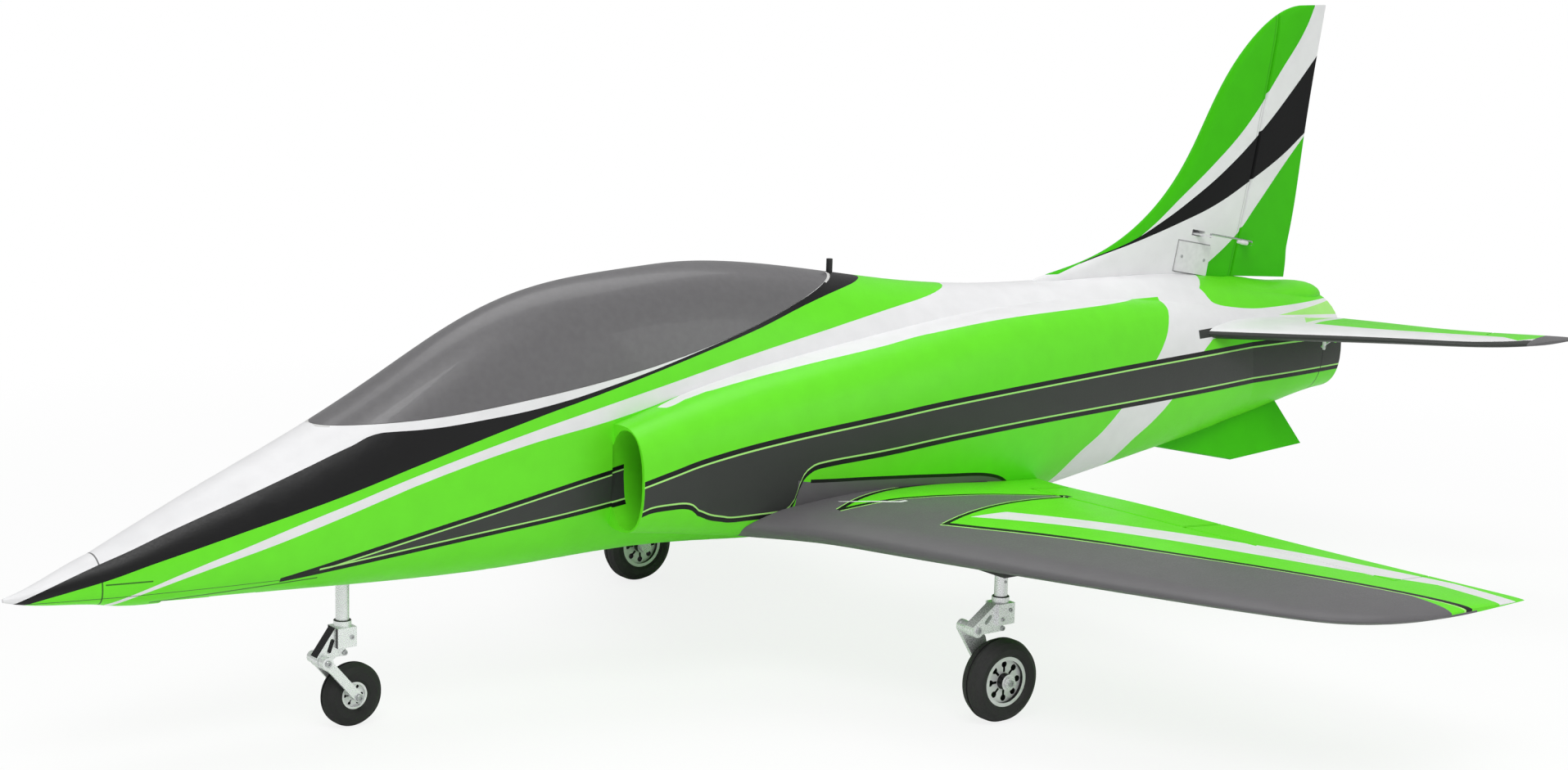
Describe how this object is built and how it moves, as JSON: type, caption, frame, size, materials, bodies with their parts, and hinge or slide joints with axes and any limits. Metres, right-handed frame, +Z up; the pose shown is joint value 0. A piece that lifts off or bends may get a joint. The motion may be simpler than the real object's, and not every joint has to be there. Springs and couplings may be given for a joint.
{
  "type": "rc jet plane",
  "caption": "Radio control ducted fan jet with swept wing, side intakes, canopy hatch and trailing-link retractable gear",
  "frame": {"origin": "on the ground under the middle of the airframe's length and span", "axes": "+X runs aft along the fuselage, +Y to the starboard wing tip, +Z up"},
  "size_m": [1.2643, 1.026, 0.4785],
  "materials": {
    "painted_foam": "satin",
    "canopy_grey": "satin",
    "black_plastic": "matte",
    "battery_wrap": "satin",
    "strap_webbing": "matte",
    "plywood": "matte",
    "motor_metal": "satin",
    "carbon": "satin",
    "strut_metal": "satin",
    "hub_metal": "satin",
    "white_plastic": "satin",
    "steel_wire": "satin",
    "tyre_rubber": "matte"
  },
  "bodies": {
    "airframe": {"fuselage": "painted_foam", "nose_cone": "painted_foam", "wing_port": "painted_foam", "wing_starboard": "painted_foam", "tailplane_port": "painted_foam", "tailplane_starboard": "painted_foam", "fin": "painted_foam", "ventral_strakes": "painted_foam", "battery_pack": "battery_wrap", "battery_straps": "strap_webbing", "battery_tray": "plywood", "receiver": "black_plastic", "fan_housing": "black_plastic", "fan_motor": "motor_metal", "exhaust_nozzle": "black_plastic", "wing_spar": "carbon", "nose_retract_unit": "black_plastic", "main_retract_unit_port": "black_plastic", "main_retract_unit_starboard": "black_plastic", "speed_controller": "black_plastic", "rudder_servo": "white_plastic", "tail_servos": "white_plastic", "wing_servos": "white_plastic"},
    "hatch": {"canopy_hatch": "canopy_grey"},
    "latch": {"hatch_latch": "black_plastic"},
    "rotor": {"fan_rotor": "black_plastic"},
    "rudder": {"rudder": "painted_foam"},
    "nose_trunnion": {"nose_trunnion": "strut_metal"},
    "nose_leg": {"nose_leg": "strut_metal"},
    "nose_link": {"nose_link": "strut_metal"},
    "nose_wheel": {"nose_hub": "hub_metal", "nose_tyre": "tyre_rubber"},
    "flap_port": {"flap_port": "painted_foam"},
    "aileron_port": {"aileron_port": "painted_foam"},
    "elevator_port": {"elevator_port": "painted_foam"},
    "main_leg_port": {"main_leg_port": "strut_metal"},
    "main_link_port": {"main_link_port": "strut_metal"},
    "main_wheel_port": {"main_hub_port": "hub_metal", "main_tyre_port": "tyre_rubber"},
    "flap_starboard": {"flap_starboard": "painted_foam"},
    "aileron_starboard": {"aileron_starboard": "painted_foam"},
    "elevator_starboard": {"elevator_starboard": "painted_foam"},
    "main_leg_starboard": {"main_leg_starboard": "strut_metal"},
    "main_link_starboard": {"main_link_starboard": "strut_metal"},
    "main_wheel_starboard": {"main_hub_starboard": "hub_metal", "main_tyre_starboard": "tyre_rubber"},
    "rudder_arm": {"rudder_arm": "white_plastic"},
    "rudder_pushrod": {"rudder_pushrod": "steel_wire"},
    "flap_arm_port": {"flap_arm_port": "white_plastic"},
    "flap_pushrod_port": {"flap_pushrod_port": "steel_wire"},
    "aileron_arm_port": {"aileron_arm_port": "white_plastic"},
    "aileron_pushrod_port": {"aileron_pushrod_port": "steel_wire"},
    "elevator_arm_port": {"elevator_arm_port": "white_plastic"},
    "elevator_pushrod_port": {"elevator_pushrod_port": "steel_wire"},
    "flap_arm_starboard": {"flap_arm_starboard": "white_plastic"},
    "flap_pushrod_starboard": {"flap_pushrod_starboard": "steel_wire"},
    "aileron_arm_starboard": {"aileron_arm_starboard": "white_plastic"},
    "aileron_pushrod_starboard": {"aileron_pushrod_starboard": "steel_wire"},
    "elevator_arm_starboard": {"elevator_arm_starboard": "white_plastic"},
    "elevator_pushrod_starboard": {"elevator_pushrod_starboard": "steel_wire"}
  },
  "joints": [
    {"name": "hatch_lift", "type": "slide", "parent": "airframe", "child": "hatch", "axis": [0, 0, 1], "range_m": [0, 0.12]},
    {"name": "latch_slide", "type": "slide", "parent": "airframe", "child": "latch", "axis": [1, 0, 0], "range_m": [0, 0.006], "stiffness_N_per_m": 60},
    {"name": "fan_spin", "type": "hinge", "parent": "airframe", "child": "rotor", "pos_m": [0.183, 0, 0.194], "axis": [1, 0, 0], "continuous": true},
    {"name": "flap_hinge_port", "type": "hinge", "parent": "airframe", "child": "flap_port", "pos_m": [0.13, -0.1, 0.124], "axis": [-0.1079, 0.9942, 0], "range_deg": [0, 30]},
    {"name": "aileron_hinge_port", "type": "hinge", "parent": "airframe", "child": "aileron_port", "pos_m": [0.13, -0.1, 0.124], "axis": [-0.1079, 0.9942, 0], "range_deg": [-22, 22]},
    {"name": "elevator_hinge_port", "type": "hinge", "parent": "airframe", "child": "elevator_port", "pos_m": [0.486, -0.038, 0.2187], "axis": [-0.4968, 0.8679, 0], "range_deg": [-22, 22]},
    {"name": "flap_hinge_starboard", "type": "hinge", "parent": "airframe", "child": "flap_starboard", "pos_m": [0.13, 0.1, 0.124], "axis": [0.1079, 0.9942, 0], "range_deg": [0, 30]},
    {"name": "aileron_hinge_starboard", "type": "hinge", "parent": "airframe", "child": "aileron_starboard", "pos_m": [0.13, 0.1, 0.124], "axis": [0.1079, 0.9942, 0], "range_deg": [-22, 22]},
    {"name": "elevator_hinge_starboard", "type": "hinge", "parent": "airframe", "child": "elevator_starboard", "pos_m": [0.486, 0.038, 0.2187], "axis": [0.4968, 0.8679, 0], "range_deg": [-22, 22]},
    {"name": "rudder_hinge", "type": "hinge", "parent": "airframe", "child": "rudder", "pos_m": [0.44, 0, 0.25], "axis": [0.1927, 0, 0.9812], "range_deg": [-25, 25]},
    {"name": "flap_arm_port_turn", "type": "hinge", "parent": "airframe", "child": "flap_arm_port", "pos_m": [0.09314, -0.20518, 0.124], "axis": [-0.1079, 0.9942, 0], "range_deg": [0, 30]},
    {"name": "flap_pushrod_port_pivot", "type": "hinge", "parent": "flap_arm_port", "child": "flap_pushrod_port", "pos_m": [0.09314, -0.20518, 0.108], "axis": [-0.1079, 0.9942, 0], "range_deg": [-30, 0]},
    {"name": "aileron_arm_port_turn", "type": "hinge", "parent": "airframe", "child": "aileron_arm_port", "pos_m": [0.10725, -0.33518, 0.124], "axis": [-0.1079, 0.9942, 0], "range_deg": [-22, 22]},
    {"name": "aileron_pushrod_port_pivot", "type": "hinge", "parent": "aileron_arm_port", "child": "aileron_pushrod_port", "pos_m": [0.10725, -0.33518, 0.108], "axis": [-0.1079, 0.9942, 0], "range_deg": [-22, 22]},
    {"name": "elevator_arm_port_turn", "type": "hinge", "parent": "airframe", "child": "elevator_arm_port", "pos_m": [0.46846, -0.08787, 0.2187], "axis": [-0.4968, 0.8679, 0], "range_deg": [-22, 22]},
    {"name": "elevator_pushrod_port_pivot", "type": "hinge", "parent": "elevator_arm_port", "child": "elevator_pushrod_port", "pos_m": [0.46846, -0.08787, 0.2057], "axis": [-0.4968, 0.8679, 0], "range_deg": [-22, 22]},
    {"name": "flap_arm_starboard_turn", "type": "hinge", "parent": "airframe", "child": "flap_arm_starboard", "pos_m": [0.09314, 0.20518, 0.124], "axis": [0.1079, 0.9942, 0], "range_deg": [0, 30]},
    {"name": "flap_pushrod_starboard_pivot", "type": "hinge", "parent": "flap_arm_starboard", "child": "flap_pushrod_starboard", "pos_m": [0.09314, 0.20518, 0.108], "axis": [0.1079, 0.9942, 0], "range_deg": [-30, 0]},
    {"name": "aileron_arm_starboard_turn", "type": "hinge", "parent": "airframe", "child": "aileron_arm_starboard", "pos_m": [0.10725, 0.33518, 0.124], "axis": [0.1079, 0.9942, 0], "range_deg": [-22, 22]},
    {"name": "aileron_pushrod_starboard_pivot", "type": "hinge", "parent": "aileron_arm_starboard", "child": "aileron_pushrod_starboard", "pos_m": [0.10725, 0.33518, 0.108], "axis": [0.1079, 0.9942, 0], "range_deg": [-22, 22]},
    {"name": "elevator_arm_starboard_turn", "type": "hinge", "parent": "airframe", "child": "elevator_arm_starboard", "pos_m": [0.46846, 0.08787, 0.2187], "axis": [0.4968, 0.8679, 0], "range_deg": [-22, 22]},
    {"name": "elevator_pushrod_starboard_pivot", "type": "hinge", "parent": "elevator_arm_starboard", "child": "elevator_pushrod_starboard", "pos_m": [0.46846, 0.08787, 0.2057], "axis": [0.4968, 0.8679, 0], "range_deg": [-22, 22]},
    {"name": "rudder_arm_turn", "type": "hinge", "parent": "airframe", "child": "rudder_arm", "pos_m": [0.39902, 0, 0.29301], "axis": [0.1927, 0, 0.9812], "range_deg": [-25, 25]},
    {"name": "rudder_pushrod_pivot", "type": "hinge", "parent": "rudder_arm", "child": "rudder_pushrod", "pos_m": [0.39902, -0.02, 0.29301], "axis": [0.1927, 0, 0.9812], "range_deg": [-25, 25]},
    {"name": "nose_retract", "type": "hinge", "parent": "airframe", "child": "nose_trunnion", "pos_m": [-0.391, 0, 0.138], "axis": [0, 1, 0], "range_deg": [0, 90]},
    {"name": "nose_steer", "type": "hinge", "parent": "nose_trunnion", "child": "nose_leg", "pos_m": [-0.391, 0, 0.06], "axis": [0, 0, 1], "range_deg": [-18, 18]},
    {"name": "nose_suspension", "type": "hinge", "parent": "nose_leg", "child": "nose_link", "pos_m": [-0.408, 0, 0.05], "axis": [0, -1, 0], "range_deg": [0, 12], "stiffness_Nm_per_rad": 3, "springref_deg": -5.73},
    {"name": "nose_wheel_spin", "type": "hinge", "parent": "nose_link", "child": "nose_wheel", "pos_m": [-0.3845, 0, 0.0225], "axis": [0, 1, 0], "continuous": true},
    {"name": "main_retract_port", "type": "hinge", "parent": "airframe", "child": "main_leg_port", "pos_m": [0.003, -0.229, 0.116], "axis": [1, 0, 0], "range_deg": [0, 90]},
    {"name": "main_suspension_port", "type": "hinge", "parent": "main_leg_port", "child": "main_link_port", "pos_m": [-0.02, -0.229, 0.07], "axis": [0, -1, 0], "range_deg": [0, 12], "stiffness_Nm_per_rad": 5, "springref_deg": -5.73},
    {"name": "main_wheel_spin_port", "type": "hinge", "parent": "main_link_port", "child": "main_wheel_port", "pos_m": [0.005, -0.229, 0.03], "axis": [0, 1, 0], "continuous": true},
    {"name": "main_retract_starboard", "type": "hinge", "parent": "airframe", "child": "main_leg_starboard", "pos_m": [0.003, 0.229, 0.116], "axis": [-1, 0, 0], "range_deg": [0, 90]},
    {"name": "main_suspension_starboard", "type": "hinge", "parent": "main_leg_starboard", "child": "main_link_starboard", "pos_m": [-0.02, 0.229, 0.07], "axis": [0, -1, 0], "range_deg": [0, 12], "stiffness_Nm_per_rad": 5, "springref_deg": -5.73},
    {"name": "main_wheel_spin_starboard", "type": "hinge", "parent": "main_link_starboard", "child": "main_wheel_starboard", "pos_m": [0.005, 0.229, 0.03], "axis": [0, 1, 0], "continuous": true}
  ],
  "couplings": [
    {"joint": "flap_arm_port_turn", "follows": "flap_hinge_port", "ratio": 1},
    {"joint": "flap_pushrod_port_pivot", "follows": "flap_hinge_port", "ratio": -1},
    {"joint": "aileron_arm_port_turn", "follows": "aileron_hinge_port", "ratio": 1},
    {"joint": "aileron_pushrod_port_pivot", "follows": "aileron_hinge_port", "ratio": -1},
    {"joint": "elevator_arm_port_turn", "follows": "elevator_hinge_port", "ratio": 1},
    {"joint": "elevator_pushrod_port_pivot", "follows": "elevator_hinge_port", "ratio": -1},
    {"joint": "flap_arm_starboard_turn", "follows": "flap_hinge_starboard", "ratio": 1},
    {"joint": "flap_pushrod_starboard_pivot", "follows": "flap_hinge_starboard", "ratio": -1},
    {"joint": "aileron_arm_starboard_turn", "follows": "aileron_hinge_starboard", "ratio": 1},
    {"joint": "aileron_pushrod_starboard_pivot", "follows": "aileron_hinge_starboard", "ratio": -1},
    {"joint": "elevator_arm_starboard_turn", "follows": "elevator_hinge_starboard", "ratio": 1},
    {"joint": "elevator_pushrod_starboard_pivot", "follows": "elevator_hinge_starboard", "ratio": -1},
    {"joint": "rudder_arm_turn", "follows": "rudder_hinge", "ratio": 1},
    {"joint": "rudder_pushrod_pivot", "follows": "rudder_hinge", "ratio": -1}
  ]
}
